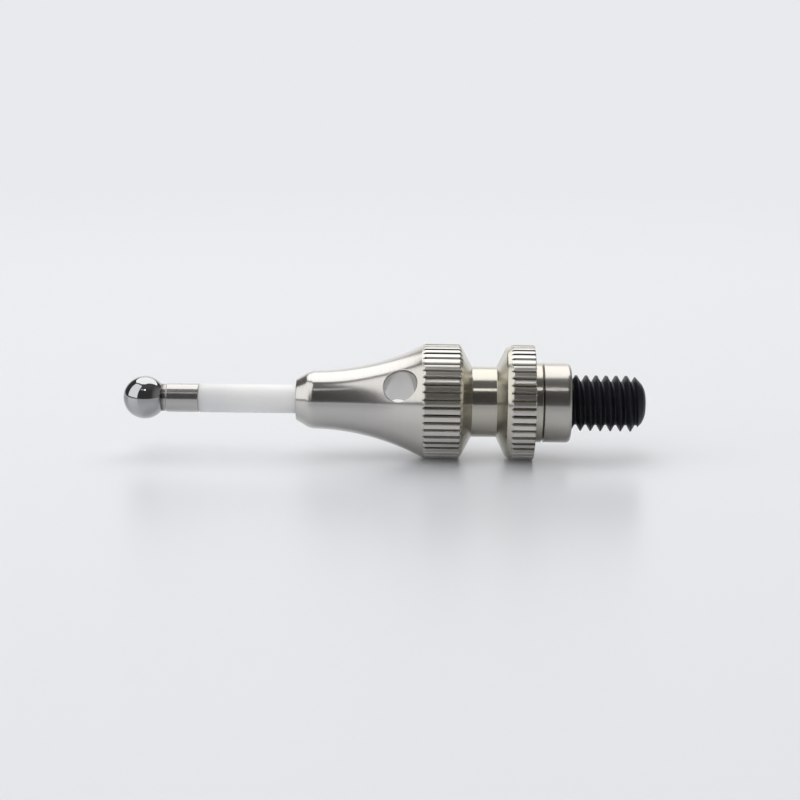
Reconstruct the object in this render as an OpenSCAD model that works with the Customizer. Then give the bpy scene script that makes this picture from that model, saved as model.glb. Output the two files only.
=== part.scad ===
// Ball stylus for a touch probe. A polished ball sits on a metal ferrule and a white
// ceramic stem, a turned body with two knurled rings holds the stem, and a black stud
// screws the whole into the probe.
// Lengths are in millimetres. The axis lies along X and the stylus rests on its rings.
// X = 0 is the seat that meets the probe: the stud points to +X, the ball to -X.

/* [Tip] */
// Distance from the seat to the centre of the ball
reach = 29.75; // [28:0.25:40]
// Diameter of the ball
ball_d = 3; // [2.5:0.1:4]
// Diameter of the ferrule behind the ball
ferrule_d = 2; // [1.6:0.05:2.2]
// Distance from the centre of the ball to the rear face of the ferrule
ferrule_reach = 3.8; // [3:0.05:4.5]
// Height of the ferrule's taper at the ball
front_drop = 0.06; // [0.03:0.01:0.12]
// Length of that taper
front_taper = 0.4; // [0.3:0.02:0.6]
// Diameter of the peg that keys the ferrule into the ball and the stem
peg_d = 1; // [0.8:0.1:1.2]
// Depth of the peg in the stem
peg_depth = 2; // [1.5:0.1:3]
// Bevel of the fine edges where ferrule and stem meet
joint_bevel = 0.06; // [0.02:0.01:0.1]

/* [Stem] */
// Diameter of the ceramic stem
stem_d = 2; // [1.7:0.05:2.3]
// Depth of the stem in the body
stem_depth = 5; // [3:0.1:5.2]

/* [Nose and flare] */
// Diameter of the flat face at the front of the body
nose_face_d = 2.85; // [2.6:0.05:3.2]
// Diameter of the nose where the flare starts
nose_d = 4.06; // [3.8:0.02:4.5]
// Length of the nose chamfer
nose_chamfer = 0.81; // [0.6:0.01:1]
// Length of the easing between the chamfer and the flare
nose_ease = 0.4; // [0.2:0.02:0.5]
// Height of that easing
nose_ease_height = 0.11; // [0.06:0.01:0.14]
// Length of the hollow flare from the nose to the front ring
flare_length = 7.53; // [7.3:0.01:9]
// Radius of the flare's hollow curve
flare_radius = 17; // [14:0.5:24]

/* [Knurled rings] */
// Outside diameter of both rings
knurl_d = 8; // [7.6:0.1:8.6]
// Number of grooves around a ring
groove_count = 46; // [36:2:56]
// Depth of a groove
groove_depth = 0.16; // [0.08:0.01:0.2]
// Width of a groove at the ring's surface
groove_width = 0.19; // [0.14:0.01:0.28]
// Length over which a groove rises out of the ring in front
groove_run_out = 0.3; // [0.2:0.02:0.4]
// Full-height length of the front ring
front_ring = 2.32; // [2:0.02:3]
// Full-height length of the rear ring
rear_ring = 1.44; // [1.2:0.02:2]
// Length of the easing at each ring's front edge
ring_ease = 0.3; // [0.2:0.02:0.4]
// Height of that easing
ring_ease_height = 0.06; // [0.03:0.01:0.08]
// Length of the bevels on the rings' inner edges
ring_bevel = 0.23; // [0.1:0.01:0.3]
// Height of the rear ring's inner edge, easing and bevel together
rear_bevel_height = 0.2; // [0.14:0.02:0.26]
// Height of the front ring's inner bevel
front_bevel_height = 0.32; // [0.2:0.02:0.4]

/* [Neck] */
// Diameter of the neck between the rings
neck_d = 4.92; // [4.6:0.02:5.4]
// Length of the neck
neck_length = 1.74; // [1.4:0.02:2.6]
// Length of the slope from the neck to either ring's bevel
shoulder_length = 0.65; // [0.4:0.01:0.9]

/* [Spanner hole] */
// Diameter of the hole for a tightening pin
hole_d = 2.3; // [2:0.1:2.5]
// Distance from the end of the flare to the centre of the hole
hole_set_back = 1.48; // [1.4:0.02:2]
// Height of the hole's direction above the horizontal
hole_roll = 29; // [0:1:90]

/* [Seat collar] */
// Diameter of the collar and of the boss in front of it
seat_d = 5.56; // [5.2:0.02:6.2]
// Length of the collar
seat_length = 2; // [1.5:0.1:3]
// Rounding of the collar's outer edge
seat_round = 0.3; // [0.1:0.05:0.4]
// Length of the boss between the rear ring and the collar
boss_length = 0.56; // [0.4:0.02:0.8]
// Bevel of the two edges at the seam between boss and collar
seam_bevel = 0.06; // [0.02:0.01:0.1]
// Gap between the thread's crests and the mouth of the collar's countersunk hole
mouth_gap = 0.1; // [0.05:0.01:0.15]

/* [Stud] */
// Diameter over the thread's crests
thread_d = 3.9; // [3.8:0.05:4]
// Pitch of the thread
pitch = 0.7; // [0.65:0.05:0.75]
// Distance from the seat to the middle of the first crest
first_crest = 0.41; // [0.35:0.01:0.6]
// Length of the stud outside the seat
stud_out = 5.25; // [4.9:0.05:7]
// Length of the stud inside the body
stud_in = 4.75; // [4:0.05:5]
// Diameter of the flat end
stud_end_d = 2.4; // [2.2:0.1:2.6]

/* [Hidden] */
$fn = 96;

// Stations along X, from the seat towards the ball
collar_x = -seat_length;
rear_ring_x = collar_x - boss_length;
rear_ease_x = rear_ring_x - rear_ring;
rear_bevel_x = rear_ease_x - ring_ease;
rear_shoulder_x = rear_bevel_x - ring_bevel;
neck_rear_x = rear_shoulder_x - shoulder_length;
neck_front_x = neck_rear_x - neck_length;
front_shoulder_x = neck_front_x - shoulder_length;
front_bevel_x = front_shoulder_x - ring_bevel;
front_ease_x = front_bevel_x - front_ring;
flare_x = front_ease_x - ring_ease;
nose_x = flare_x - flare_length;
face_x = nose_x - nose_ease - nose_chamfer;
stem_end_x = face_x + stem_depth;
ball_x = -reach;
ferrule_x = ball_x + ferrule_reach;
contact_x = ball_x + sqrt(pow(ball_d / 2, 2) - pow(ferrule_d / 2 - front_drop, 2));
hole_x = flare_x - hole_set_back;
stud_inner_x = collar_x - stud_in;

// The flare is an arc through the end of the nose and the easing of the front ring
ease_step = [ring_ease_height, ring_ease];
nose_end = [nose_d / 2, nose_x];
ring_edge = [knurl_d / 2, front_ease_x] - ease_step;
flare_chord = ring_edge - nose_end;
flare_normal = [flare_chord[1], -flare_chord[0]] / norm(flare_chord);
flare_rise = sqrt(pow(flare_radius, 2) - pow(norm(flare_chord) / 2, 2));
flare_centre = (nose_end + ring_edge) / 2 + flare_rise * flare_normal;

// Both edges next to the flare are drawn past its ends, so that the arc cuts them clean
chamfer_end = nose_end - [nose_ease_height, nose_ease];
ease_past = nose_end + [nose_ease_height, nose_ease] / 4;
ring_past = ring_edge - ease_step;

// The thread's groove is a V with flanks at 30 degrees, cut off at its floor
flank_angle = 30;
crest_width = pitch / 8;
floor_width = pitch / 6;
flank_width = (pitch - crest_width - floor_width) / 2;
thread_depth = flank_width / tan(flank_angle);
thread_turns = ceil(stud_out / pitch);
end_chamfer = (thread_d - stud_end_d) / 2;

// The shank has the pitch diameter, three eighths of the sharp V's height inside the crests
sharp_height = pitch / (2 * tan(flank_angle));
shank_d = thread_d - 0.75 * sharp_height;
mouth_r = thread_d / 2 + mouth_gap;

// How far a cut runs past the face that it leaves by
overcut = 0.1;

// Turns a profile drawn as [radius, X] about the X axis
module turned() {
    rotate([0, 90, 0])
        rotate_extrude()
            children();
}

module rod(d, from, to) {
    translate([from, 0, 0])
        rotate([0, 90, 0])
            cylinder(d = d, h = to - from);
}

module bevelled_rod(d, from, to, bevel) {
    turned()
        polygon([
            [0, from],
            [d / 2 - bevel, from],
            [d / 2, from + bevel],
            [d / 2, to - bevel],
            [d / 2 - bevel, to],
            [0, to]
        ]);
}

// One peg runs from the centre of the ball through the ferrule and into the stem
module peg() {
    rod(peg_d, ball_x, ferrule_x + peg_depth);
}

module stem_rod() {
    bevelled_rod(stem_d, ferrule_x, stem_end_x, joint_bevel);
}

module tip_ball() {
    color("#8C9094")
        difference() {
            translate([ball_x, 0, 0])
                sphere(d = ball_d);
            peg();
        }
}

// The ferrule and its peg are one piece, hollowed in front to the ball it is brazed to
module ball_ferrule() {
    color("#B4B4B0")
        turned()
            union() {
                difference() {
                    polygon([
                        [0, ball_x],
                        [ferrule_d / 2 - front_drop, ball_x],
                        [ferrule_d / 2 - front_drop, contact_x],
                        [ferrule_d / 2, contact_x + front_taper],
                        [ferrule_d / 2, ferrule_x - joint_bevel],
                        [ferrule_d / 2 - joint_bevel, ferrule_x],
                        [0, ferrule_x]
                    ]);
                    translate([0, ball_x])
                        circle(d = ball_d);
                }
                translate([0, ball_x])
                    square([peg_d / 2, ferrule_reach + peg_depth]);
            }
}

module ceramic_stem() {
    color("#E6E4E2")
        difference() {
            stem_rod();
            peg();
        }
}

module body_profile() {
    difference() {
        polygon([
            [0, face_x],
            [nose_face_d / 2, face_x],
            chamfer_end,
            ease_past,
            ring_past,
            [knurl_d / 2, front_ease_x],
            [knurl_d / 2, front_bevel_x],
            [knurl_d / 2 - front_bevel_height, front_shoulder_x],
            [neck_d / 2, neck_front_x],
            [neck_d / 2, neck_rear_x],
            [knurl_d / 2 - rear_bevel_height, rear_shoulder_x],
            [knurl_d / 2 - ring_ease_height, rear_bevel_x],
            [knurl_d / 2, rear_ease_x],
            [knurl_d / 2, rear_ring_x - seam_bevel],
            [knurl_d / 2 - seam_bevel, rear_ring_x],
            [seat_d / 2, rear_ring_x],
            [seat_d / 2, collar_x - seam_bevel],
            [seat_d / 2 - seam_bevel, collar_x],
            [0, collar_x]
        ]);
        translate(flare_centre)
            circle(r = flare_radius);
    }
}

// Straight V grooves, one of them under the axis. A cone lets them run out in front
module knurl_grooves(from, to) {
    groove_pitch = 360 / groove_count;
    floor_r = knurl_d / 2 - groove_depth;
    difference() {
        translate([from, 0, 0])
            rotate([0, 90, 0])
                linear_extrude(height = to - from)
                    for (i = [0 : groove_count - 1])
                        rotate(i * groove_pitch)
                            polygon([
                                [floor_r, 0],
                                [floor_r + 2 * groove_depth, groove_width],
                                [floor_r + 2 * groove_depth, -groove_width]
                            ]);
        turned()
            polygon([
                [0, from],
                [knurl_d / 2, from],
                [knurl_d / 2 - 2 * groove_depth, from + 2 * groove_run_out],
                [0, from + 2 * groove_run_out]
            ]);
    }
}

module spanner_hole() {
    translate([hole_x, 0, 0])
        rotate([90 - hole_roll, 0, 0])
            cylinder(d = hole_d, h = 2 * knurl_d, center = true);
}

module stylus_body() {
    color("#BDBAB3")
        difference() {
            turned()
                body_profile();
            knurl_grooves(flare_x, front_shoulder_x + overcut);
            knurl_grooves(rear_bevel_x, rear_ring_x + overcut);
            stem_rod();
            rod(shank_d, stud_inner_x, collar_x);
            spanner_hole();
        }
}

module seat_collar() {
    color("#B9B8B6")
        turned()
            union() {
                polygon([
                    [shank_d / 2, collar_x],
                    [seat_d / 2 - seam_bevel, collar_x],
                    [seat_d / 2, collar_x + seam_bevel],
                    [seat_d / 2, -seat_round],
                    [seat_d / 2 - seat_round, 0],
                    [mouth_r, 0],
                    [shank_d / 2, shank_d / 2 - mouth_r]
                ]);
                translate([seat_d / 2 - seat_round, -seat_round])
                    circle(r = seat_round);
            }
}

// The thread is drawn as rings at its pitch, so that its crests are true cylinders
module thread_grooves() {
    floor_r = thread_d / 2 - thread_depth;
    wider = overcut * tan(flank_angle);
    for (i = [0 : thread_turns])
        translate([0, first_crest + crest_width / 2 + (i - 1) * pitch])
            polygon([
                [floor_r, flank_width],
                [floor_r, flank_width + floor_width],
                [thread_d / 2 + overcut, 2 * flank_width + floor_width + wider],
                [thread_d / 2 + overcut, -wider]
            ]);
}

module threaded_stud() {
    color("#1C1B1A")
        union() {
            rod(shank_d, stud_inner_x, 0);
            turned()
                difference() {
                    polygon([
                        [0, 0],
                        [thread_d / 2, 0],
                        [thread_d / 2, stud_out - end_chamfer],
                        [stud_end_d / 2, stud_out],
                        [0, stud_out]
                    ]);
                    thread_grooves();
                }
        }
}

tip_ball();
ball_ferrule();
ceramic_stem();
stylus_body();
seat_collar();
threaded_stud();
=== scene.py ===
import math

import bpy
import numpy as np
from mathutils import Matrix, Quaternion, Vector


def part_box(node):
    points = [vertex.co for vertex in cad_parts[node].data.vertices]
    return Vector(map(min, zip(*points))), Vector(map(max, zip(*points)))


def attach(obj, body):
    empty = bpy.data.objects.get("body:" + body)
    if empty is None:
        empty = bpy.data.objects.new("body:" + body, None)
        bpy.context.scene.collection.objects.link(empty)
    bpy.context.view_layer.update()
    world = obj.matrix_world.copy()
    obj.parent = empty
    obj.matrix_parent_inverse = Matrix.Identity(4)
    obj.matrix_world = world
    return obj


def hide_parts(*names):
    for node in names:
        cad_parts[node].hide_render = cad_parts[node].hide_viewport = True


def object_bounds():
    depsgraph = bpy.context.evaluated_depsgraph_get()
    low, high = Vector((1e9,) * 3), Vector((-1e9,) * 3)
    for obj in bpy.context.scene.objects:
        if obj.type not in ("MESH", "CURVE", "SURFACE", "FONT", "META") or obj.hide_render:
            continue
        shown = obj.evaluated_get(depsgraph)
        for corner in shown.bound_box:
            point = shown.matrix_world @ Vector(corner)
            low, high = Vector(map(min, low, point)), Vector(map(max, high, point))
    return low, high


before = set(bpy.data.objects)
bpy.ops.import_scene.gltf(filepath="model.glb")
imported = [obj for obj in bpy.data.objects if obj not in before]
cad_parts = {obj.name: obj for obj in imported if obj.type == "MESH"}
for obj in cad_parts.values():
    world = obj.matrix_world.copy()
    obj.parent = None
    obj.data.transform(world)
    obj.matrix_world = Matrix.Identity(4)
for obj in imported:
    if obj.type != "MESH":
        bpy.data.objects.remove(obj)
cadBox = [list(corner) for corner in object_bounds()]
mm = 0.001
print("frame loaded with", len(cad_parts), "nodes")


def linearColour(hexCode, alpha=1.0):
    # sRGB hex to linear light: the lower end is a straight line, the rest a power of 2.4
    srgb = np.array([int(hexCode[i:i + 2], 16) / 255 for i in (1, 3, 5)])
    linear = np.where(srgb <= 0.04045, srgb / 12.92, ((srgb + 0.055) / 1.055) ** 2.4)
    return (*linear.tolist(), alpha)


def addNode(tree, kind, settings=None, inputs=None):
    # one node with its settings; an input is either a plain value or another node's socket
    node = tree.nodes.new(kind)
    for key, value in (settings or {}).items():
        setattr(node, key, value)
    for key, value in (inputs or {}).items():
        if isinstance(value, bpy.types.NodeSocket):
            tree.links.new(value, node.inputs[key])
        else:
            node.inputs[key].default_value = value
    return node


def newMaterial(name):
    material = bpy.data.materials.new(name)
    material.use_nodes = True
    material.node_tree.nodes.clear()
    return material, material.node_tree


def turnedMetal(name, look):
    # Turned or ground metal: tool marks run round the X axis, so reflections stay crisp around
    # the piece and are drawn out a little along it; stray finer lines break up the gloss. The
    # marks are about 0.1 mm wide, coarser than the real feed, so that they show
    material, tree = newMaterial(name)
    place = addNode(tree, "ShaderNodeTexCoord")
    along = addNode(tree, "ShaderNodeSeparateXYZ", inputs={0: place.outputs["Object"]})
    marks = addNode(tree, "ShaderNodeTexNoise", {"noise_dimensions": "1D"},
                    {"W": along.outputs["X"], "Scale": 1 / (look["markWidth"] * mm),
                     "Detail": 3.0, "Roughness": 0.65})
    clouds = addNode(tree, "ShaderNodeTexNoise", None,
                     {"Vector": place.outputs["Object"], "Scale": 1 / (look["cloudSize"] * mm),
                      "Detail": 2.0})
    mixed = addNode(tree, "ShaderNodeMath", {"operation": "MULTIPLY_ADD"},
                    {0: clouds.outputs["Fac"], 1: 0.5, 2: marks.outputs["Fac"]})
    gloss = addNode(tree, "ShaderNodeMapRange", None,
                    {"Value": mixed.outputs[0], "From Min": 0.45, "From Max": 1.05,
                     "To Min": look["roughness"][0], "To Max": look["roughness"][1]})
    tint = addNode(tree, "ShaderNodeMix", {"data_type": "RGBA"},
                   {"Factor": marks.outputs["Fac"], "A": linearColour(look["colour"]),
                    "B": linearColour(look["markColour"])})
    bump = addNode(tree, "ShaderNodeBump", None,
                   {"Height": marks.outputs["Fac"], "Strength": 1.0,
                    "Distance": look["markDepth"] * mm})
    swirl = addNode(tree, "ShaderNodeTangent", {"direction_type": "RADIAL", "axis": "X"})
    surface = tint.outputs["Result"]
    if "toneAndShadeColour" in look:  # a colour that comes in between two stations along X: a warmer tone on the body's rear, and painted shade as a dark band on the ferrule's front next to the ball
        toneAndShadeBand = addNode(tree, "ShaderNodeMapRange", {"interpolation_type": "SMOOTHSTEP"},
                       {"Value": along.outputs["X"], "From Min": look["toneAndShadeFrom"][0] * mm,
                        "From Max": look["toneAndShadeFrom"][1] * mm})
        toneAndShadeMix = addNode(tree, "ShaderNodeMix", {"data_type": "RGBA"},
                       {"Factor": toneAndShadeBand.outputs["Result"], "A": surface,
                        "B": linearColour(look["toneAndShadeColour"])})
        surface = toneAndShadeMix.outputs["Result"]
    share = look["hazeShare"]
    if "landHaze" in look:  # rolled lands, told by their radius, are duller and rubbed bright
        aside = addNode(tree, "ShaderNodeVectorMath", {"operation": "MULTIPLY"},
                        {0: place.outputs["Object"], 1: (0.0, 1.0, 1.0)})
        radius = addNode(tree, "ShaderNodeVectorMath", {"operation": "LENGTH"},
                         {0: aside.outputs["Vector"]})
        rolled = addNode(tree, "ShaderNodeMapRange", None,
                         {"Value": radius.outputs["Value"], "From Min": look["landFrom"][0] * mm,
                          "From Max": look["landFrom"][1] * mm})
        rubbed = addNode(tree, "ShaderNodeMix", {"data_type": "RGBA"},
                         {"Factor": rolled.outputs["Result"], "A": surface,
                          "B": linearColour(look["landColour"])})
        dull = addNode(tree, "ShaderNodeMath", {"operation": "MULTIPLY_ADD"},
                       {0: rolled.outputs["Result"], 1: look["landHaze"] - share, 2: share})
        surface = rubbed.outputs["Result"]
        share = dull.outputs[0]
    if "paintedGrooveShade" in look:  # painted shade: grooves darkened by their depth, where shade falls in them
        depth = addNode(tree, "ShaderNodeAttribute", {"attribute_name": "grooveShade"})
        paintedShade = addNode(tree, "ShaderNodeMix", {"data_type": "RGBA"},
                        {"Factor": depth.outputs["Fac"], "A": surface,
                         "B": linearColour(look["paintedGrooveShade"])})
        surface = paintedShade.outputs["Result"]
    lobes = []
    # a crisp lobe from the cut and a hazy one from fine scratches, each drawn out along the axis
    for extra, drawn in ((0.0, look["drawn"][0]), (look["haze"], look["drawn"][1])):
        rough = addNode(tree, "ShaderNodeMath", {"operation": "ADD"},
                        {0: gloss.outputs["Result"], 1: extra})
        lobe = addNode(tree, "ShaderNodeBsdfPrincipled", None,
                       {"Base Color": surface, "Metallic": 1.0, "Roughness": rough.outputs[0],
                        "Normal": bump.outputs["Normal"], "Tangent": swirl.outputs["Tangent"],
                        "Anisotropic": drawn, "Anisotropic Rotation": 0.25})
        lobes.append(lobe.outputs["BSDF"])
    shader = addNode(tree, "ShaderNodeMixShader", None, {0: share, 1: lobes[0], 2: lobes[1]})
    addNode(tree, "ShaderNodeOutputMaterial", None, {"Surface": shader.outputs[0]})
    return material


def polishedSteel(name, look):
    # Lapped and polished steel ball: a clean dark mirror with next to no texture
    material, tree = newMaterial(name)
    place = addNode(tree, "ShaderNodeTexCoord")
    haze = addNode(tree, "ShaderNodeTexNoise", None,
                   {"Vector": place.outputs["Object"], "Scale": 1 / (look["hazeSize"] * mm),
                    "Detail": 3.0})
    gloss = addNode(tree, "ShaderNodeMapRange", None,
                    {"Value": haze.outputs["Fac"], "To Min": look["roughness"][0],
                     "To Max": look["roughness"][1]})
    shader = addNode(tree, "ShaderNodeBsdfPrincipled", None,
                     {"Base Color": linearColour(look["colour"]), "Metallic": 1.0,
                      "Roughness": gloss.outputs["Result"]})
    addNode(tree, "ShaderNodeOutputMaterial", None, {"Surface": shader.outputs["BSDF"]})
    return material


def groundCeramic(name, look):
    # Ground alumina rod: dense white, a soft satin highlight and light that enters a little way
    material, tree = newMaterial(name)
    place = addNode(tree, "ShaderNodeTexCoord")
    grit = addNode(tree, "ShaderNodeTexNoise", None,
                   {"Vector": place.outputs["Object"], "Scale": 1 / (look["gritSize"] * mm),
                    "Detail": 4.0, "Roughness": 0.6})
    tint = addNode(tree, "ShaderNodeMix", {"data_type": "RGBA"},
                   {"Factor": grit.outputs["Fac"], "A": linearColour(look["colour"]),
                    "B": linearColour(look["shade"])})
    gloss = addNode(tree, "ShaderNodeMapRange", None,
                    {"Value": grit.outputs["Fac"], "To Min": look["roughness"][0],
                     "To Max": look["roughness"][1]})
    bump = addNode(tree, "ShaderNodeBump", None,
                   {"Height": grit.outputs["Fac"], "Strength": 0.6,
                    "Distance": look["gritDepth"] * mm})
    shader = addNode(tree, "ShaderNodeBsdfPrincipled", None,
                     {"Base Color": tint.outputs["Result"], "Roughness": gloss.outputs["Result"],
                      "IOR": look["ior"], "Normal": bump.outputs["Normal"],
                      "Subsurface Weight": look["depthWeight"],
                      "Subsurface Scale": look["depth"] * mm,
                      "Subsurface Radius": (1.0, 0.95, 0.9)})
    addNode(tree, "ShaderNodeOutputMaterial", None, {"Surface": shader.outputs["BSDF"]})
    return material


def blackOxide(name, look):
    # Black oxide on steel, oiled: almost no colour, with a faint satin shine on the flanks
    material, tree = newMaterial(name)
    place = addNode(tree, "ShaderNodeTexCoord")
    grain = addNode(tree, "ShaderNodeTexNoise", None,
                    {"Vector": place.outputs["Object"], "Scale": 1 / (look["grainSize"] * mm),
                     "Detail": 4.0, "Roughness": 0.6})
    tint = addNode(tree, "ShaderNodeMix", {"data_type": "RGBA"},
                   {"Factor": grain.outputs["Fac"], "A": linearColour(look["colour"]),
                    "B": linearColour(look["shade"])})
    gloss = addNode(tree, "ShaderNodeMapRange", None,
                    {"Value": grain.outputs["Fac"], "To Min": look["roughness"][0],
                     "To Max": look["roughness"][1]})
    bump = addNode(tree, "ShaderNodeBump", None,
                   {"Height": grain.outputs["Fac"], "Strength": 0.5,
                    "Distance": look["grainDepth"] * mm})
    shader = addNode(tree, "ShaderNodeBsdfPrincipled", None,
                     {"Base Color": tint.outputs["Result"], "Roughness": gloss.outputs["Result"],
                      "Normal": bump.outputs["Normal"], "Specular IOR Level": look["shine"]})
    addNode(tree, "ShaderNodeOutputMaterial", None, {"Surface": shader.outputs["BSDF"]})
    return material


def roundedOutline(corners, steps=4, support=0.03):
    # Rows are x, radius and rounding. Each corner becomes a parabola tangent to both edges, and
    # a support point just outside it keeps the edges' own normals flat
    rows = np.array(corners, float)
    points, reach = rows[:, :2], rows[:, 2:]
    back = np.vstack([points[:1], points[:-1]]) - points
    ahead = np.vstack([points[1:], points[-1:]]) - points
    unitBack = back / np.maximum(np.linalg.norm(back, axis=1, keepdims=True), 1e-9)
    unitAhead = ahead / np.maximum(np.linalg.norm(ahead, axis=1, keepdims=True), 1e-9)
    s = np.linspace(0, 1, steps + 1)[None, :, None]
    start = points + unitBack * reach
    end = points + unitAhead * reach
    bend = (1 - s) ** 2 * start[:, None] + 2 * s * (1 - s) * points[:, None] + s ** 2 * end[:, None]
    spare = np.minimum(support, reach)
    lead = (start + unitBack * spare)[:, None]
    tail = (end + unitAhead * spare)[:, None]
    line = np.concatenate([lead, bend, tail], axis=1).reshape(-1, 2)
    keep = np.append(True, np.linalg.norm(np.diff(line, axis=0), axis=1) > 1e-6)
    return line[keep]


def evenAngles(count):
    return np.arange(count) * 2 * np.pi / count


def revolvedPoints(x, radius, angle):
    # about the X axis: angle 0 points down and a quarter turn faces the camera side
    x, radius, angle = np.broadcast_arrays(x, radius, angle)
    return np.stack([x, -radius * np.sin(angle), -radius * np.cos(angle)], axis=-1)


def gridQuads(rows, columns, closedRows=False):
    # neighbours in a grid whose columns wrap round; closed rows join the last row to the first
    i = np.arange(rows if closedRows else rows - 1)[:, None]
    j = np.arange(columns)[None, :]
    nextRow, nextColumn = (i + 1) % rows, (j + 1) % columns
    corners = [i * columns + j, i * columns + nextColumn,
               nextRow * columns + nextColumn, nextRow * columns + j]
    return np.stack(np.broadcast_arrays(*corners), axis=-1)


def capFan(firstVertex, columns, pole, flipped):
    # triangles from one ring of the grid to a single point on the axis
    j = np.arange(columns)
    ring, following = firstVertex + j, firstVertex + (j + 1) % columns
    middle = np.full(columns, pole)
    order = [following, ring, middle] if flipped else [ring, following, middle]
    return np.stack(order, axis=-1)


def solidOfRevolution(outline, angles, radii=None):
    # The outline starts and ends on the axis. Its inner rows become a grid, its ends two poles
    x, radius = outline[1:-1, 0], outline[1:-1, 1]
    radii = radius[:, None] if radii is None else radii
    grid = revolvedPoints(x[:, None], radii, angles[None, :]).reshape(-1, 3)
    poles = np.array([[outline[0, 0], 0, 0], [outline[-1, 0], 0, 0]])
    points = np.vstack([grid, poles])
    rows, columns = len(x), len(angles)
    quads = gridQuads(rows, columns)
    fans = np.vstack([capFan(0, columns, len(grid), True),
                      capFan((rows - 1) * columns, columns, len(grid) + 1, False)])
    return points, quads, fans


def signedVolume(points, triangles):
    # sum of the tetrahedra from the origin: negative where the faces point inwards
    a, b, c = (points[triangles[:, k]] for k in range(3))
    return np.einsum("ij,ij->i", a, np.cross(b, c)).sum() / 6


def putPiece(name, points, quads, fans, material, node, sharpAngle=40, shade=None):
    # Leaves out unused points, turns the faces outwards and stands in for the CAD node
    quads = quads.reshape(-1, 4)
    triangles = np.vstack([quads[:, [0, 1, 2]], quads[:, [0, 2, 3]], fans.reshape(-1, 3)])
    if signedVolume(points, triangles) < 0:
        quads, fans = quads[:, ::-1], fans[:, ::-1]
    used, where = np.unique(np.concatenate([quads.ravel(), fans.ravel()]), return_inverse=True)
    quads = where[:quads.size].reshape(-1, 4)
    fans = where[quads.size:].reshape(-1, 3)
    mesh = bpy.data.meshes.new(name)
    mesh.from_pydata((points[used] * mm).tolist(), [], quads.tolist() + fans.tolist())
    # grooveShade weights the painted shade that darkens the grooves
    if shade is not None:
        layer = mesh.attributes.new("grooveShade", "FLOAT", "POINT")
        layer.data.foreach_set("value", shade[used].astype(np.float32))
    mesh.validate()
    mesh.shade_smooth()
    mesh.set_sharp_from_angle(angle=math.radians(sharpAngle))
    mesh.materials.append(material)
    piece = bpy.data.objects.new(name, mesh)
    bpy.context.scene.collection.objects.link(piece)
    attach(piece, "root")
    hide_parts(node)
    print(name, "made with", len(triangles), "triangles")
    return piece


def boxSpan(node):
    # a CAD node's ends along X, in mm
    low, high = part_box(node)
    return low.x / mm, high.x / mm


noFans = np.zeros((0, 3), int)

# Ball: a sphere on the axis, with the socket of the ferrule's peg at its back
ball = {"radius": 1.5, "pegRadius": 0.5, "arcSteps": 96, "segments": 160}
ballX = boxSpan("tip_ball")[0] + ball["radius"]
ballLook = {"colour": "#B3B4B5", "roughness": (0.03, 0.06), "hazeSize": 0.6}


def makeBall():
    # arc angle runs from the peg's rim at the back to the pole in front
    rim = math.asin(ball["pegRadius"] / ball["radius"])
    arc = np.linspace(rim, np.pi, ball["arcSteps"])
    sphere = np.stack([ballX + ball["radius"] * np.cos(arc), ball["radius"] * np.sin(arc)], -1)
    socket = np.array([[ballX, 0], [ballX, ball["pegRadius"]]])
    outline = np.vstack([socket, sphere])
    points, quads, fans = solidOfRevolution(outline, evenAngles(ball["segments"]))
    material = polishedSteel("polishedBallSteel", ballLook)
    return putPiece("polishedBall", points, quads, fans, material, "tip_ball")


# Ferrule: a turned sleeve, hollowed in front to the ball, with its peg on the axis
ferrule = {"radius": 1.0, "reach": 3.8, "frontLength": 0.4, "frontDrop": 0.05,
           "frontStep": 0.05, "edge": 0.06, "pegDepth": 2.0, "segments": 160}
ferruleRear = ballX + ferrule["reach"]
# the dark colour on the front, next to the ball, is painted shade
ferruleLook = {"colour": "#C6C4C2", "markColour": "#BBB8B5", "markWidth": 0.09, "markDepth": 0.00012,
               "cloudSize": 0.9, "roughness": (0.17, 0.22), "haze": 0.2, "hazeShare": 0.25,
               "drawn": (0.75, 0.65), "toneAndShadeColour": "#5A5653", "toneAndShadeFrom": (-28.2, -28.6)}


def makeFerrule():
    # the hollow front follows the ball's circle, and the outside is a rounded line with a step
    seat = ferrule["radius"] - ferrule["frontDrop"]
    rise = np.linspace(math.asin(ball["pegRadius"] / ball["radius"]),
                       math.asin(seat / ball["radius"]), 10)
    hollow = np.stack([ballX + ball["radius"] * np.cos(rise), ball["radius"] * np.sin(rise)], -1)
    contact = hollow[-1, 0]
    outside = roundedOutline([
        (contact, seat, 0),
        (contact + ferrule["frontLength"] - ferrule["frontStep"], seat, 0.015),
        (contact + ferrule["frontLength"], ferrule["radius"], 0.02),
        (ferruleRear - ferrule["edge"], ferrule["radius"], 0.02),
        (ferruleRear, ferrule["radius"] - ferrule["edge"], 0.01),
        (ferruleRear, ball["pegRadius"], 0),
        (ferruleRear + ferrule["pegDepth"], ball["pegRadius"], 0),
        (ferruleRear + ferrule["pegDepth"], 0, 0)])
    start = np.array([[ballX, 0], [ballX, ball["pegRadius"]]])
    outline = np.vstack([start, hollow, outside[1:]])
    points, quads, fans = solidOfRevolution(outline, evenAngles(ferrule["segments"]))
    material = turnedMetal("turnedStainlessSteel", ferruleLook)
    return putPiece("ballFerrule", points, quads, fans, material, "ball_ferrule")


# Stem: a ground ceramic rod between the ferrule and the body
stem = {"radius": 1.0, "edge": 0.05, "segments": 160}
stemEnd = boxSpan("ceramic_stem")[1]
stemLook = {"colour": "#F8F8F7", "shade": "#F3F3F2", "gritSize": 0.05, "gritDepth": 0.0003,
            "roughness": (0.3, 0.4), "ior": 1.6, "depth": 0.9, "depthWeight": 0.85}


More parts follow.
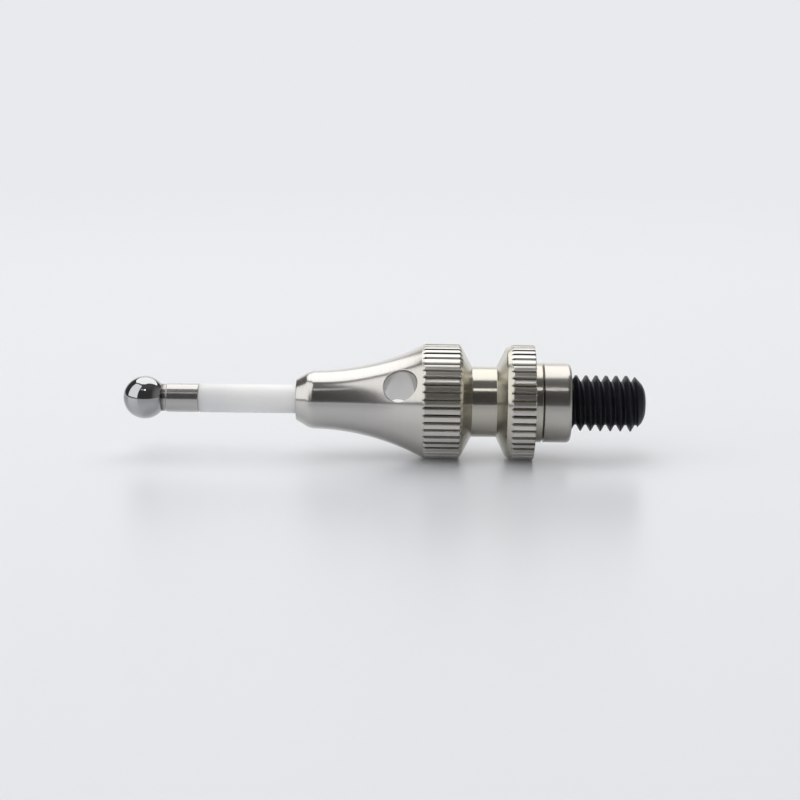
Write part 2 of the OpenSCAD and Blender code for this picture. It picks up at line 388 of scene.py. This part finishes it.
def makeStem():
    # a rounded line turned about X, bored in front for the peg
    socketEnd = ferruleRear + ferrule["pegDepth"]
    outline = roundedOutline([
        (socketEnd, 0, 0),
        (socketEnd, ball["pegRadius"], 0),
        (ferruleRear, ball["pegRadius"], 0),
        (ferruleRear, stem["radius"] - stem["edge"], 0.015),
        (ferruleRear + stem["edge"], stem["radius"], 0.015),
        (stemEnd - stem["edge"], stem["radius"], 0.015),
        (stemEnd, stem["radius"] - stem["edge"], 0.015),
        (stemEnd, 0, 0)])
    points, quads, fans = solidOfRevolution(outline, evenAngles(stem["segments"]))
    material = groundCeramic("groundAluminaCeramic", stemLook)
    return putPiece("ceramicRod", points, quads, fans, material, "ceramic_stem")


# Body: one turned piece. Lengths are stations along X from the seat, as in the solids
body = {"ringRadius": 4.0, "neckRadius": 2.46, "bossRadius": 2.78, "shankRadius": 1.7227,
        "studInner": -6.75, "seam": -2.0, "seamBevel": 0.05, "rearFace": -2.56,
        "rearRing": (-4.08, 4.0), "rearEase": (-4.3, 3.905), "rearShoulder": (-4.53, 3.8),
        "neckRear": -5.18, "neckFront": -6.92, "frontShoulder": (-7.57, 3.68),
        "frontRing": (-7.8, 4.0), "frontEase": (-10.18, 4.0), "flareEnd": (-10.42, 3.895),
        "noseCorner": (-18.35, 1.92), "noseStart": (-17.95, 2.03), "flareStart": -17.8,
        "flareArc": 17.0, "face": -19.16, "faceRadius": 1.425, "faceBevel": 0.05}
knurl = {"count": 46, "depth": 0.18, "width": 0.25, "runOut": 0.24, "crown": 0.012,
         "frontTip": (-10.37, 3.917), "rearTip": (-4.27, 3.918), "share": (0.0, 0.5, 1.0, 1.2, 2.0)}
hole = {"x": -11.9, "radius": 1.15, "roll": 30.6, "edge": 0.04, "left": -13.6, "right": -10.5,
        "halfWindow": 31.0, "rings": 9, "wallRings": 14}
# the grooves' darker colour is painted shade, weighted by depth; the rear of the body takes a warmer
# tone of its own
bodyLook = {"colour": "#CDCBC8", "markColour": "#C2BFBB", "markWidth": 0.1, "markDepth": 0.00015,
            "cloudSize": 1.2, "roughness": (0.15, 0.2), "haze": 0.22, "hazeShare": 0.16,
            "landHaze": 0.48, "landColour": "#D8D5D0", "landFrom": (3.945, 3.985),
            "drawn": (0.55, 0.45), "paintedGrooveShade": "#7C786F", "toneAndShadeColour": "#C5C1B6",
            "toneAndShadeFrom": (-12.0, -8.5)}


def flareCircle():
    # centre of the hollow arc through the nose's end and the front ring's edge
    a, b = np.array(body["noseStart"]), np.array(body["flareEnd"])
    chord = b - a
    across = np.array([-chord[1], chord[0]]) / np.linalg.norm(chord)
    rise = math.sqrt(body["flareArc"] ** 2 - (np.linalg.norm(chord) / 2) ** 2)
    return (a + b) / 2 + rise * across


def flareRadius(x):
    # the arc's lower side: its centre's height less the root of radius squared less offset squared
    centre = flareCircle()
    return centre[1] - np.sqrt(body["flareArc"] ** 2 - (x - centre[0]) ** 2)


def withStations(line, tip):
    # a ring's outline with closer stations where its grooves run out
    fine = tip[0] + np.linspace(-0.05, knurl["runOut"] + 0.05, 17)
    x = np.unique(np.round(np.concatenate([line[:, 0], fine]), 6))
    return np.stack([x, np.interp(x, line[:, 0], line[:, 1])], -1)


def bodyOutline():
    # from the stem's socket to the stud's: straight lines with rounded corners, and the flare's
    # arc between nose and front ring, with even stations beside the cross hole
    flareX = np.concatenate([np.linspace(body["flareStart"], hole["left"], 16),
                             np.linspace(hole["left"], hole["right"], 22)[1:]])
    flare = np.stack([flareX, flareRadius(flareX)], -1)
    front = roundedOutline([
        (stemEnd, 0, 0),
        (stemEnd, stem["radius"], 0),
        (body["face"] + body["faceBevel"], stem["radius"], 0),
        (body["face"], stem["radius"] + body["faceBevel"], 0.01),
        (body["face"], body["faceRadius"], 0.06),
        (*body["noseCorner"], 0.14),
        (*body["noseStart"], 0.1),
        (flareX[0], flare[0, 1], 0)], steps=6)
    frontRing = roundedOutline([
        (hole["right"], flare[-1, 1], 0),
        (*body["flareEnd"], 0.02),
        (*body["frontEase"], 0.1),
        (*body["frontRing"], 0.05),
        (*body["frontShoulder"], 0.06),
        (body["neckFront"], body["neckRadius"], 0)])
    neck = roundedOutline([
        (*frontRing[-2], 0),
        (body["neckFront"], body["neckRadius"], 0.05),
        (body["neckRear"], body["neckRadius"], 0.05),
        (*body["rearShoulder"], 0)])
    onCone = 0.1  # the rear ring's line starts this far up the rear cone
    coneRadius = np.interp(onCone, [0, body["rearShoulder"][0] - body["neckRear"]],
                           [body["neckRadius"], body["rearShoulder"][1]])
    rearRing = roundedOutline([
        (body["neckRear"] + onCone, coneRadius, 0),
        (*body["rearShoulder"], 0.06),
        (*body["rearEase"], 0.08),
        (*body["rearRing"], 0.1),
        (body["rearFace"] - body["seamBevel"], body["ringRadius"], 0.02),
        (body["rearFace"], body["ringRadius"] - body["seamBevel"], 0)])
    rear = roundedOutline([
        (body["rearFace"], body["ringRadius"] - body["seamBevel"], 0),
        (body["rearFace"], body["bossRadius"], 0.03),
        (body["seam"] - body["seamBevel"], body["bossRadius"], 0.02),
        (body["seam"], body["bossRadius"] - body["seamBevel"], 0.01),
        (body["seam"], body["shankRadius"], 0),
        (body["studInner"], body["shankRadius"], 0),
        (body["studInner"], 0, 0)])
    joined = np.vstack([front[:-1], flare, withStations(frontRing[1:-1], knurl["frontTip"]),
                        neck[1:-1], withStations(rearRing, knurl["rearTip"])[:-1], rear])
    keep = np.append(True, np.linalg.norm(np.diff(joined, axis=0), axis=1) > 1e-4)
    return joined[keep]


def knurlAngles():
    # each groove has columns at the same shares of its half width, and one on the land; the
    # offsets are in mm along the ring's surface
    pitch = 2 * np.pi * body["ringRadius"] / knurl["count"]
    half = np.array(knurl["share"]) * knurl["width"] / 2
    offset = np.concatenate([-half[:0:-1], half, [pitch / 2]])
    centres = np.arange(knurl["count"]) * pitch
    angles = (centres[:, None] + offset[None, :]).ravel() / body["ringRadius"]
    return angles, np.tile(np.abs(offset), knurl["count"])


def knurlRadii(x, radius, offset):
    # A V groove is a floor plus a slope times the sideways distance. The floor starts on the
    # ring's surface at the tip and sinks to its depth over the run-out. The lands between the
    # grooves are crowned: they drop by the square of the distance from their middle
    inFront = x < body["neckFront"]
    tipX = np.where(inFront, knurl["frontTip"][0], knurl["rearTip"][0])
    tipRadius = np.where(inFront, knurl["frontTip"][1], knurl["rearTip"][1])
    sink = np.clip((x - tipX) / knurl["runOut"], 0, 1)
    floor = tipRadius + sink * (body["ringRadius"] - knurl["depth"] - tipRadius)
    cut = (x > tipX) & (x < body["rearFace"] + 1e-6)
    floor = np.where(cut, floor, np.inf)
    pitch = 2 * np.pi * body["ringRadius"] / knurl["count"]
    middle = (pitch / 2 - offset) / (pitch / 2)
    land = radius[:, None] - np.where(cut, sink * knurl["crown"], 0)[:, None] * middle ** 2
    groove = floor[:, None] + 2 * knurl["depth"] / knurl["width"] * offset[None, :]
    # how deep each point lies in a groove: the weight of the painted groove shade
    shade = np.clip((land - groove) / knurl["depth"], 0, 1)
    return np.minimum(land, groove), shade


def windowLoop(rowRange, columnRange):
    # the grid points round a rectangular window, in the order of its edges
    top, bottom = rowRange
    left, right = columnRange
    rows = np.concatenate([np.full(right - left, top), np.arange(top, bottom),
                           np.full(right - left, bottom), np.arange(bottom, top, -1)])
    columns = np.concatenate([np.arange(left, right), np.full(bottom - top, right),
                              np.arange(right, left, -1), np.full(bottom - top, left)])
    return rows, columns


def borePoints(turn, radius, facing, sunk):
    # Where a cylinder across the axis meets the flare: sideways distance w at this turn about
    # the hole, height s from the flare's radius, less how far the point is sunk
    x = hole["x"] + radius * np.cos(turn)
    w = radius * np.sin(turn)
    s = np.sqrt(flareRadius(x) ** 2 - w ** 2) - sunk
    return x, facing + np.arctan2(w, s), np.hypot(w, s)


def boreSide(facing, rowRange, columnRange, angles, x, turn=None):
    # rings of points from the window's edge to the bore's rim, closer together at the rim, and
    # the rim itself, rounded over by its edge
    rows, columns = windowLoop(rowRange, columnRange)
    edgeX, edgeAngle = x[rows], angles[columns]
    look = np.arctan2((edgeAngle - facing) * flareRadius(np.array(hole["x"])), edgeX - hole["x"])
    shift = None
    if turn is None:
        turn = look
    else:  # the far side takes the near side's lines, mirrored, from the best starting point
        mirrored = [-np.roll(turn[::-1], k) for k in range(len(turn))]
        miss = [np.abs(np.angle(np.exp(1j * (m - look)))).sum() for m in mirrored]
        shift = int(np.argmin(miss))
        turn = mirrored[shift]
    rimX, rimAngle, _ = borePoints(turn, hole["radius"] + hole["edge"], facing, 0.0)
    share = (np.arange(1, hole["rings"]) / hole["rings"])[::-1, None] ** 1.5
    ringX = rimX + share * (edgeX - rimX)
    ringAngle = rimAngle + share * (edgeAngle - rimAngle)
    patch = revolvedPoints(ringX, flareRadius(ringX), ringAngle)
    lips = [(hole["edge"], 0.0), (0.3 * hole["edge"], 0.3 * hole["edge"]), (0.0, hole["edge"])]
    rim = [revolvedPoints(px, pr, pa) for px, pa, pr in
           (borePoints(turn, hole["radius"] + wide, facing, sunk) for wide, sunk in lips)]
    return rows * len(angles) + columns, np.concatenate([patch, rim]), turn, shift


def makeBody():
    # The outline turned about X with the knurl's radii. A window of the grid is left out at each
    # end of the cross hole, and straight lines between the two rims make the hole's wall
    outline = bodyOutline()
    angles, offset = knurlAngles()
    x, radius = outline[1:-1, 0], outline[1:-1, 1]
    radii, shade = knurlRadii(x, radius, offset)
    points, quads, fans = solidOfRevolution(outline, angles, radii)
    rowRange = [int(np.argmin(np.abs(x - hole[side]))) for side in ("left", "right")]
    facing = [math.radians(90 + hole["roll"] + turn) for turn in (0, 180)]
    reach = math.radians(hole["halfWindow"])
    columnRange = [[int(np.argmin(np.abs(angles - f + reach))),
                    int(np.argmin(np.abs(angles - f - reach)))] for f in facing]
    for left, right in columnRange:
        quads[rowRange[0]:rowRange[1], left:right] = -1
    kept = quads.reshape(-1, 4)
    kept = kept[kept[:, 0] >= 0]
    nearEdge, nearRings, turn, _ = boreSide(facing[0], rowRange, columnRange[0], angles, x)
    farEdge, farRings, _, shift = boreSide(facing[1], rowRange, columnRange[1], angles, x, turn)
    count = len(turn)
    # far line k lies opposite near line shift - 1 - k
    match = (shift - 1 - np.arange(count)) % count
    share = np.linspace(0, 1, hole["wallRings"])[1:-1, None, None]
    wall = nearRings[-1] + share * (farRings[-1][match] - nearRings[-1])
    strips = [(nearEdge, nearRings), (None, wall), (farEdge, farRings)]
    loops, start = {}, len(points)
    for name, (edge, rings) in zip(("near", "wall", "far"), strips):
        index = start + np.arange(len(rings) * count).reshape(len(rings), count)
        points = np.vstack([points, rings.reshape(-1, 3)])
        loops[name] = index if edge is None else np.vstack([edge, index])
        start += index.size
    tube = np.vstack([loops["near"], loops["wall"], loops["far"][-1][match]])
    added = [kept]
    for rings in (tube, loops["far"]):
        outer, inner = rings[:-1], rings[1:]
        added.append(np.stack([outer, np.roll(outer, -1, 1), np.roll(inner, -1, 1), inner],
                              -1).reshape(-1, 4))
    material = turnedMetal("turnedNickelSilverSteel", bodyLook)
    return putPiece("turnedBody", points, np.vstack(added), fans, material, "stylus_body",
                    sharpAngle=33,
                    shade=np.append(shade.ravel(), np.zeros(len(points) - shade.size)))


# Collar: a ground ring against the boss, with a rounded outer edge and a countersunk hole
collar = {"rounding": 0.3, "seamWidth": 0.1, "seamDepth": 0.16, "mouthRadius": 2.05,
          "seatRim": 0.03, "segments": 192}
# the seam's groove gets a dark colour that is painted shade
collarLook = {"colour": "#C9C6C0", "markColour": "#C1BDB6", "markWidth": 0.06, "markDepth": 0.0001,
              "cloudSize": 0.8, "roughness": (0.17, 0.21), "haze": 0.2, "hazeShare": 0.3,
              "drawn": (0.4, 0.3), "paintedGrooveShade": "#57524B"}


def makeCollar():
    # a closed outline turned about X: the seam's groove, a quarter circle and the mouth's cone
    turn = np.linspace(0, np.pi / 2, 10)
    edge = np.stack([-collar["rounding"] * (1 - np.sin(turn)),
                     body["bossRadius"] - collar["rounding"] * (1 - np.cos(turn))], -1)
    lead = roundedOutline([
        (body["seam"], body["shankRadius"], 0),
        (body["seam"], body["bossRadius"] - collar["seamDepth"], 0),
        (body["seam"] + collar["seamWidth"], body["bossRadius"] - collar["seamDepth"], 0.01),
        (body["seam"] + collar["seamWidth"], body["bossRadius"], 0.025),
        (-collar["rounding"] - 0.02, body["bossRadius"], 0)])
    mouth = np.array([[0, collar["mouthRadius"] + collar["seatRim"]], [0, collar["mouthRadius"]],
                      [body["shankRadius"] - collar["mouthRadius"], body["shankRadius"]]])
    outline = np.vstack([lead, edge, mouth])
    angles = evenAngles(collar["segments"])
    grid = revolvedPoints(outline[:, :1], outline[:, 1:], angles[None, :]).reshape(-1, 3)
    quads = gridQuads(len(outline), len(angles), closedRows=True)
    material = turnedMetal("groundCollarSteel", collarLook)
    # points inside the seam's groove take the painted shade
    paintedSeamShade = (grid[:, 0] < body["seam"] + collar["seamWidth"] - 0.001) * 1.0
    return putPiece("seatCollar", grid, quads, noFans, material, "seat_collar",
                    shade=paintedSeamShade)


# Stud: a right-hand thread with flanks at 30 degrees, domed at the end
stud = {"crestRadius": 1.95, "pitch": 0.7, "firstCrest": 0.41, "end": 5.25, "endRadius": 0.5,
        "dome": ((4.3, 2.08), (5.0, 1.36), (5.19, 0.95), (5.25, 0.5)), "domeRounding": 0.12,
        "slack": 0.002, "edge": 0.02, "endStep": 0.05, "stepsPerPitch": 40, "segments": 120}
studLook = {"colour": "#25262B", "shade": "#191A1E", "grainSize": 0.12, "grainDepth": 0.0015,
            "roughness": (0.3, 0.42), "shine": 0.16}


def threadRadius(x, angle):
    # Distance along X to the nearest crest of a helix that gains one pitch a turn, from the
    # top to the camera side; the flank falls from the crest's flat to the root
    pitch = stud["pitch"]
    phase = (x - stud["firstCrest"]) / pitch - (np.pi - angle) / (2 * np.pi)
    distance = np.abs(phase - np.round(phase)) * pitch
    root = stud["crestRadius"] - (pitch - pitch / 8 - pitch / 6) / 2 / math.tan(math.pi / 6)
    flank = stud["crestRadius"] - (distance - pitch / 16) / math.tan(math.pi / 6)
    return np.clip(flank, root, stud["crestRadius"])


def makeStud():
    # at each station and angle the smallest of thread, mouth of the collar and domed end
    angles = evenAngles(stud["segments"])
    step = stud["pitch"] / stud["stepsPerPitch"]
    start = body["shankRadius"] - collar["mouthRadius"]
    x = np.append(np.arange(start, stud["end"] - step / 2, step), stud["end"])
    thread = threadRadius(x[:, None], angles[None, :])
    mouthLimit = np.where(x < 0, collar["mouthRadius"] - stud["edge"] + x, np.inf)
    rounding = (0, stud["domeRounding"], stud["domeRounding"], 0)
    corners = [(*corner, bend) for corner, bend in zip(stud["dome"], rounding)]
    dome = roundedOutline(corners, steps=6)
    endLimit = np.where(x < dome[0, 0], np.inf, np.interp(x, dome[:, 0], dome[:, 1]))
    thread = np.minimum(thread, np.minimum(mouthLimit, endLimit)[:, None])
    shank = np.array([[body["studInner"], body["shankRadius"] - stud["edge"]],
                      [body["studInner"] + stud["edge"], body["shankRadius"] - stud["slack"]],
                      [start - stud["endStep"], body["shankRadius"] - stud["slack"]]])
    rows = np.concatenate([shank[:, 0], x, [stud["end"]]])
    plain = np.repeat(shank[:, 1:], len(angles), 1)
    face = np.full((1, len(angles)), stud["endRadius"] - stud["endStep"])
    radii = np.vstack([plain, thread, face])
    ends = np.array([[body["studInner"], 0], [stud["end"], 0]])
    outline = np.vstack([ends[:1], np.stack([rows, radii[:, 0]], -1), ends[1:]])
    points, quads, fans = solidOfRevolution(outline, angles, radii)
    material = blackOxide("blackOxideSteel", studLook)
    return putPiece("threadedStud", points, quads, fans, material, "threaded_stud",
                    sharpAngle=50)


makeBall()
makeFerrule()
makeStem()
makeBody()
makeCollar()
makeStud()


# Studio: a pale floor, a dark room in front, soft panels above and to the left, one small lamp
studio = {"pale": "#E8EAEE", "middle": (-11.9, 0.0, 0.0),
          "floorColour": "#DEE0E4", "floorReach": 1.4, "floorSides": 96, "floorRoughness": 0.3,
          "floorIor": 1.9, "plainShare": 0.04, "lit": (0.05, 0.22),
          "roomRadius": 1.3, "roomRows": 12, "roomSides": 48, "roomDark": 0.06,
          "roomHigh": 0.12, "highFrom": (0.6, 0.95), "roomSide": 0.2, "sideFrom": (0.55, 0.95),
          "roomPale": 1.06, "paleBehind": (0.72, 0.9), "paleBelow": (0.72, 0.64)}
panels = {
    "overheadPanel": {"corners": ((-0.42, 0.22, 0.6), (-0.15, -0.06, 0.6), (0.02, -0.06, 0.6),
                                  (0.1, 0.02, 0.6), (0.58, 0.32, 0.6), (0.6, 0.52, 0.6),
                                  (0.3, 0.85, 0.6), (-0.31, 0.85, 0.6), (-0.46, 0.57, 0.6)),
                      "strength": 1.84},
    "leftPanel": {"seen": ((-38, 4), (-36, 68), (-108, 52), (-95, 4)), "distance": 0.6,
                  "strength": 1.38},
    "smallLamp": {"seen": ((0.5, 46.4), (8.0, 46.4), (8.5, 54.0), (0.0, 54.0)), "distance": 0.6,
                  "strength": 3.6},
    "lampGlow": {"seen": ((-30, 46.5), (-3, 46.5), (-3, 52.0), (-30, 52.0)), "distance": 0.62,
                 "strength": 0.7},
    "highFill": {"seen": ((-85, 46), (5, 46), (15, 80), (-125, 80)), "distance": 0.8,
                 "strength": 2.7, "hidden": True},
    "lowFill": {"seen": ((-70, 14), (5, 14), (5, 44), (-70, 44)), "distance": 0.75,
                "strength": 1.0, "hidden": True},
}


def stageObject(name, mesh, material):
    mesh.materials.append(material)
    item = bpy.data.objects.new(name, mesh)
    bpy.context.scene.collection.objects.link(item)
    return item


def lightDirection(azimuth, elevation):
    # azimuth from the camera side towards +X, elevation above the floor
    a, e = math.radians(azimuth), math.radians(elevation)
    return Vector((math.sin(a) * math.cos(e), -math.cos(a) * math.cos(e), math.sin(e)))


def makePanel(name, panel):
    # corners are either points in metres from the object's middle or directions seen from it
    middle = Vector(studio["middle"]) * mm
    if "seen" in panel:
        corners = [lightDirection(*way) * panel["distance"] for way in panel["seen"]]
    else:
        corners = [Vector(corner) for corner in panel["corners"]]
    mesh = bpy.data.meshes.new(name)
    mesh.from_pydata([list(middle + corner) for corner in corners], [], [list(range(len(corners)))])
    material, tree = newMaterial(name + "Light")
    glow = addNode(tree, "ShaderNodeEmission", None, {"Strength": panel["strength"]})
    addNode(tree, "ShaderNodeOutputMaterial", None, {"Surface": glow.outputs[0]})
    item = stageObject(name, mesh, material)
    item.visible_camera = False
    item.visible_glossy = not panel.get("hidden", False)  # a hidden panel only fills shadows
    return item


def makeFloor():
    # Near the object the floor is a lit satin sheet that takes shadow and reflection; further
    # out it passes into the plain background colour
    ring = evenAngles(studio["floorSides"])
    low = cadBox[0][2]
    points = np.stack([studio["floorReach"] * np.cos(ring), studio["floorReach"] * np.sin(ring),
                       np.full(len(ring), low)], -1)
    mesh = bpy.data.meshes.new("paleFloor")
    mesh.from_pydata(points.tolist(), [], [list(range(len(ring)))])
    material, tree = newMaterial("paleSatinSheet")
    place = addNode(tree, "ShaderNodeTexCoord")
    length = addNode(tree, "ShaderNodeVectorMath", {"operation": "LENGTH"},
                     {0: place.outputs["Object"]})
    far = addNode(tree, "ShaderNodeMapRange", {"interpolation_type": "SMOOTHSTEP"},
                  {"Value": length.outputs["Value"], "From Min": studio["lit"][0],
                   "From Max": studio["lit"][1], "To Min": studio["plainShare"]})
    sheet = addNode(tree, "ShaderNodeBsdfPrincipled", None,
                    {"Base Color": linearColour(studio["floorColour"]),
                     "Roughness": studio["floorRoughness"], "IOR": studio["floorIor"]})
    plain = addNode(tree, "ShaderNodeEmission", None, {"Color": linearColour(studio["pale"])})
    ray = addNode(tree, "ShaderNodeLightPath")
    seen = addNode(tree, "ShaderNodeMath", {"operation": "ADD"},
                   {0: ray.outputs["Is Camera Ray"], 1: ray.outputs["Is Glossy Ray"]})
    seenAll = addNode(tree, "ShaderNodeMath", {"operation": "ADD", "use_clamp": True},
                      {0: seen.outputs[0], 1: ray.outputs["Is Transmission Ray"]})
    share = addNode(tree, "ShaderNodeMath", {"operation": "MULTIPLY"},
                    {0: seenAll.outputs[0], 1: far.outputs["Result"]})
    mixed = addNode(tree, "ShaderNodeMixShader", None,
                    {0: share.outputs[0], 1: sheet.outputs["BSDF"], 2: plain.outputs[0]})
    addNode(tree, "ShaderNodeOutputMaterial", None, {"Surface": mixed.outputs[0]})
    return stageObject("paleFloor", mesh, material)


def makeRoom():
    # a dome that the metal reflects: dark all round, pale behind the object up to half height;
    # the stations are parts of its radius along Y, Z and X
    rows, sides = studio["roomRows"], studio["roomSides"]
    rise = np.arange(rows) * np.pi / 2 / rows
    turn = evenAngles(sides)
    e, a = np.meshgrid(rise, turn, indexing="ij")
    shell = np.stack([np.cos(e) * np.cos(a), np.cos(e) * np.sin(a), np.sin(e)], -1).reshape(-1, 3)
    points = np.vstack([shell, [[0, 0, 1]]]) * studio["roomRadius"]
    quads = gridQuads(rows, sides).reshape(-1, 4)
    fans = capFan((rows - 1) * sides, sides, len(shell), False)
    mesh = bpy.data.meshes.new("darkRoom")
    mesh.from_pydata(points.tolist(), [], quads.tolist() + fans.tolist())
    material, tree = newMaterial("darkRoomWall")
    place = addNode(tree, "ShaderNodeTexCoord")
    way = addNode(tree, "ShaderNodeVectorMath", {"operation": "NORMALIZE"},
                  {0: place.outputs["Object"]})
    axes = addNode(tree, "ShaderNodeSeparateXYZ", inputs={0: way.outputs["Vector"]})
    behind = addNode(tree, "ShaderNodeMapRange", {"interpolation_type": "SMOOTHSTEP"},
                     {"Value": axes.outputs["Y"], "From Min": studio["paleBehind"][0],
                      "From Max": studio["paleBehind"][1]})
    below = addNode(tree, "ShaderNodeMapRange", {"interpolation_type": "SMOOTHSTEP"},
                    {"Value": axes.outputs["Z"], "From Min": studio["paleBelow"][0],
                     "From Max": studio["paleBelow"][1]})
    pale = addNode(tree, "ShaderNodeMath", {"operation": "MULTIPLY"},
                   {0: behind.outputs["Result"], 1: below.outputs["Result"]})
    high = addNode(tree, "ShaderNodeMapRange", {"interpolation_type": "SMOOTHSTEP"},
                   {"Value": axes.outputs["Z"], "From Min": studio["highFrom"][0],
                    "From Max": studio["highFrom"][1], "To Min": studio["roomDark"],
                    "To Max": studio["roomHigh"]})
    side = addNode(tree, "ShaderNodeMapRange", {"interpolation_type": "SMOOTHSTEP"},
                   {"Value": axes.outputs["X"], "From Min": studio["sideFrom"][0],
                    "From Max": studio["sideFrom"][1], "To Max": studio["roomSide"]})
    walls = addNode(tree, "ShaderNodeMath", None,
                    {0: high.outputs["Result"], 1: side.outputs["Result"]})
    level = addNode(tree, "ShaderNodeMix", {"data_type": "FLOAT"},
                    {"Factor": pale.outputs[0], "A": walls.outputs[0], "B": studio["roomPale"]})
    glow = addNode(tree, "ShaderNodeEmission", None, {"Strength": level.outputs["Result"]})
    addNode(tree, "ShaderNodeOutputMaterial", None, {"Surface": glow.outputs[0]})
    room = stageObject("darkRoom", mesh, material)
    room.visible_camera = False
    return room


def makeWorld():
    world = bpy.data.worlds.new("paleWorld")
    bpy.context.scene.world = world
    world.use_nodes = True
    tree = world.node_tree
    tree.nodes.clear()
    pale = addNode(tree, "ShaderNodeBackground", None, {"Color": linearColour(studio["pale"])})
    addNode(tree, "ShaderNodeOutputWorld", None, {"Surface": pale.outputs[0]})


for panelName, panelSettings in panels.items():
    makePanel(panelName, panelSettings)
makeFloor()
makeRoom()
makeWorld()
print("studio lit with", len(panels), "panels")

# Camera: square to the axis and a little above it, as the photograph was taken
view = {"focus": (-11.9, 0.0, 0.04), "elevation": 11.0, "distance": 147.0, "lens": 94.5,
        "roll": 0.78, "sensor": 36.0, "nearest": 5.0}


def makeCamera():
    data = bpy.data.cameras.new("photoCamera")
    data.lens = view["lens"]
    data.sensor_width = view["sensor"]
    data.clip_start = view["nearest"] * mm
    camera = bpy.data.objects.new("photoCamera", data)
    bpy.context.scene.collection.objects.link(camera)
    back = lightDirection(0, view["elevation"])
    camera.location = Vector(view["focus"]) * mm + back * view["distance"] * mm
    camera.rotation_mode = "QUATERNION"
    level = (-back).to_track_quat("-Z", "Y")
    camera.rotation_quaternion = Quaternion(back, math.radians(view["roll"])) @ level
    bpy.context.scene.camera = camera


makeCamera()
bpy.context.scene.view_settings.view_transform = "Standard"
print("camera set at", view["elevation"], "degrees")
